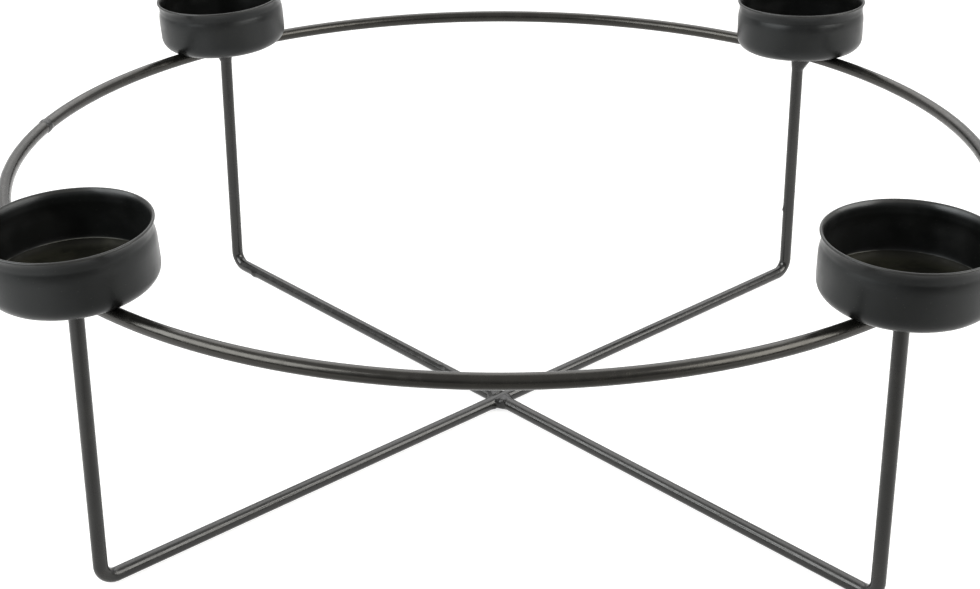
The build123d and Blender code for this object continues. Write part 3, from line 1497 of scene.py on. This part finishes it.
@dataclass
class Studio:
    """Pale floor, white surroundings and soft lamps.

    Attributes:
        lamps: The soft lamps.
        lamp_watts: Power of one square metre of a lamp's face at a brightness of 1.
        aim: The point that the lamps face.
        floor_half_size: Half the floor's side.
        floor_tone: Colour of the floor's paper.
        floor_lift: How much whiter the floor is to the eye than its paper, near the object and far off.
        floor_reach: Where the near floor ends, and where the far one begins.
        floor_shine: How much whiter the floor is in reflections than its paper.
        floor_fade: Where that runs out towards the front, and where it is full.
        floor_front: Where the floor in front has gone dark in reflections, and where that begins.
        floor_dim_middle: Middle of the stretch of floor in front that stays dim in reflections.
        floor_dim_half_width: Half width of that stretch, and of it with its soft edges.
        fill_level: Plain light from all round.
        viewer_level: Brightness of the room on the viewer's side, in reflections.
        ceiling_level: Brightness of the ceiling, in reflections.
        ceiling_rise: How steep a direction is where the ceiling begins and where it is full; 1 is upright.
        wall_level: Brightness of the wall at the back, in reflections.
        wall_turn: How far a direction faces back where the wall begins and where it is full.
    """

    lamps: tuple[SoftBox, ...] = (
        SoftBox(
            label="left_soft_box",
            bearing=-152.0,
            rise=30.0,
            distance=1.3,
            width=1.2,
            height=0.8,
            brightness=5.8,
            tone=(0.98, 1.0, 1.0),
        ),
        SoftBox(
            label="right_soft_box",
            bearing=-19.0,
            rise=30.0,
            distance=1.3,
            width=1.2,
            height=0.8,
            brightness=5.4,
            tone=(1.0, 0.985, 0.95),
        ),
        SoftBox(
            label="back_soft_box",
            bearing=90.0,
            rise=50.0,
            distance=1.5,
            width=1.8,
            height=1.2,
            brightness=1.6,
        ),
    )
    lamp_watts: float = 4.0
    aim: Vector = field(default_factory=lambda: Vector((0.0, 0.0, 0.05)))
    floor_half_size: float = 6.0
    floor_tone: Colour = (0.5, 0.497, 0.49)
    floor_lift: Span = (0.74, 1.0)
    floor_reach: Span = (0.5, 1.4)
    floor_shine: float = 0.75
    floor_fade: Span = (-0.3, 0.02)
    floor_front: Span = (-0.56, -0.36)
    floor_dim_middle: float = 0.05
    floor_dim_half_width: Span = (0.06, 0.26)
    fill_level: float = 0.05
    viewer_level: float = 0.3
    ceiling_level: float = 0.9
    ceiling_rise: Span = (0.05, 0.95)
    wall_level: float = 1.0
    wall_turn: Span = (-0.1, 0.45)

    def build(self) -> None:
        """Set up the floor, the surroundings and the lamps."""
        self.lay_floor()
        self.surround()
        for lamp in self.lamps:
            self.hang(lamp)
        bpy.context.scene.view_settings.view_transform = "Standard"

    def lay_floor(self) -> None:
        """Lay a pale floor under the object."""
        shape = bmesh.new()
        bmesh.ops.create_grid(shape, x_segments=1, y_segments=1, size=self.floor_half_size)
        floor = add_mesh("floor", shape, self.floor_paper())

    def floor_paper(self) -> Material:
        """Paper that is white to the eye and dim in front in reflections, and takes the object's shadow.

        Returns:
            The finished node material.
        """
        material = bpy.data.materials.new("pale_floor")
        sheet = NodeSheet(material)
        rays = sheet.add("ShaderNodeLightPath", {}).outputs
        place = sheet.place()
        axes = sheet.add("ShaderNodeSeparateXYZ", {"Vector": place}).outputs
        behind = sheet.remap(axes["Y"], self.floor_fade, (0.0, self.floor_shine))
        aside = sheet.away_from(axes["X"], self.floor_dim_middle)
        beside = sheet.remap(aside, self.floor_dim_half_width, (0.0, self.floor_shine))
        within = sheet.remap(axes["Y"], self.floor_front, NONE_TO_FULL)
        mirrored = sheet.maths("MAXIMUM", behind, sheet.maths("MULTIPLY", beside, within))
        shine = sheet.maths("MULTIPLY", rays["Is Glossy Ray"], mirrored)
        far = sheet.add("ShaderNodeVectorMath", {0: place}, operation="LENGTH").outputs["Value"]
        whitened = sheet.remap(far, self.floor_reach, self.floor_lift)
        lift = sheet.maths("MULTIPLY", rays["Is Camera Ray"], whitened)
        level = sheet.maths("MAXIMUM", shine, lift)
        paper = sheet.add("ShaderNodeBsdfDiffuse", {"Color": opaque(self.floor_tone)})
        glow = sheet.add("ShaderNodeEmission", {"Color": opaque(WHITE), "Strength": level})
        both = sheet.add("ShaderNodeAddShader", {0: paper.outputs[0], 1: glow.outputs[0]})
        sheet.add("ShaderNodeOutputMaterial", {"Surface": both.outputs[0]})
        return material

    def surround(self) -> None:
        """Make the surroundings white to the eye, and a dim plain fill as light.

        Reflections show the white wall at the back, and the dimmer room on the viewer's side.
        """
        world = bpy.data.worlds.new("white_room")
        bpy.context.scene.world = world
        sheet = NodeSheet(world)
        rays = sheet.add("ShaderNodeLightPath", {}).outputs
        direction = sheet.add("ShaderNodeTexCoord", {}).outputs["Generated"]
        axes = sheet.add("ShaderNodeSeparateXYZ", {"Vector": direction}).outputs
        viewer_side = sheet.remap(axes["Z"], self.ceiling_rise, (self.viewer_level, self.ceiling_level))
        wall = sheet.remap(axes["Y"], self.wall_turn, (0.0, self.wall_level))
        room = sheet.maths("MAXIMUM", viewer_side, wall)
        glossy = sheet.maths("MULTIPLY", rays["Is Glossy Ray"], room)
        seen = sheet.maths("MAXIMUM", rays["Is Camera Ray"], rays["Is Transmission Ray"])
        shown = sheet.maths("MAXIMUM", glossy, seen)
        fill = sheet.maths("MULTIPLY", rays["Is Diffuse Ray"], self.fill_level)
        level = sheet.maths("MAXIMUM", shown, fill)
        backdrop = sheet.add("ShaderNodeBackground", {"Color": opaque(WHITE), "Strength": level})
        sheet.add("ShaderNodeOutputWorld", {"Surface": backdrop.outputs[0]})

    def hang(self, lamp: SoftBox) -> None:
        """Hang one lamp so that it faces the object.

        Args:
            lamp: The lamp's place, size and brightness.
        """
        light = bpy.data.lights.new(lamp.label, "AREA")
        light.shape = "RECTANGLE"
        light.size = lamp.width
        light.size_y = lamp.height
        light.energy = self.lamp_watts * lamp.width * lamp.height * lamp.brightness
        light.color = lamp.tone
        rise = math.radians(lamp.rise)
        towards = level_direction(lamp.bearing) * math.cos(rise) + UP * math.sin(rise)
        holder = add_object(lamp.label, light)
        holder.location = self.aim + towards * lamp.distance
        holder.rotation_euler = towards.to_track_quat("Z", "Y").to_euler()
        holder.visible_camera = False


@dataclass
class PhotoCamera:
    """The camera at the photo's viewpoint.

    Attributes:
        place: The lens's place.
        yaw: Turn to the right of straight back, in radians.
        pitch: Tilt down, in radians.
        roll: Tilt of the horizon, in radians.
        lens: Focal length in millimetres on the sensor.
        sensor: Width of the sensor in millimetres.
        nearest: The nearest distance that it shows.
    """

    place: Vector = field(default_factory=lambda: Vector((0.01761, -0.48906, 0.27557)))
    yaw: float = -0.0425
    pitch: float = 0.4469
    roll: float = -0.0034
    lens: float = 61.25
    sensor: float = 36.0
    nearest: float = 0.01

    def build(self) -> None:
        """Set up the scene's camera."""
        back = Vector((math.sin(self.yaw), math.cos(self.yaw), 0.0))
        ahead = back * math.cos(self.pitch) - UP * math.sin(self.pitch)
        level = Vector((math.cos(self.yaw), -math.sin(self.yaw), 0.0))
        upright = level.cross(ahead)
        right = level * math.cos(self.roll) + upright * math.sin(self.roll)
        above = upright * math.cos(self.roll) - level * math.sin(self.roll)
        view = bpy.data.cameras.new("photo_camera")
        view.sensor_fit = "HORIZONTAL"
        view.sensor_width = self.sensor
        view.lens = self.lens
        view.clip_start = self.nearest
        camera = add_object("photo_camera", view)
        turn = Matrix((right, above, -ahead)).transposed()
        camera.matrix_world = Matrix.Translation(self.place) @ turn.to_4x4()
        bpy.context.scene.camera = camera


def main() -> None:
    """Build the studio and every piece of the holder."""
    logging.basicConfig(level=logging.INFO, format="%(name)s: %(message)s")
    Studio().build()
    PhotoCamera().build()
    wires = WireFrame()
    wires.build(WIRE_COAT.build(), RING_COAT.build())
    cup_coat, floor_coat = CUP_COAT.build(), FLOOR_COAT.build()
    cups = [CandleCup(corner, CUP_LEANS[corner]) for corner in Corner]
    for cup in cups:
        cup.build(cup_coat, floor_coat)
    WeldBeads(wires, cups).build(WELD_COAT.build())


if __name__ == "__main__":
    main()
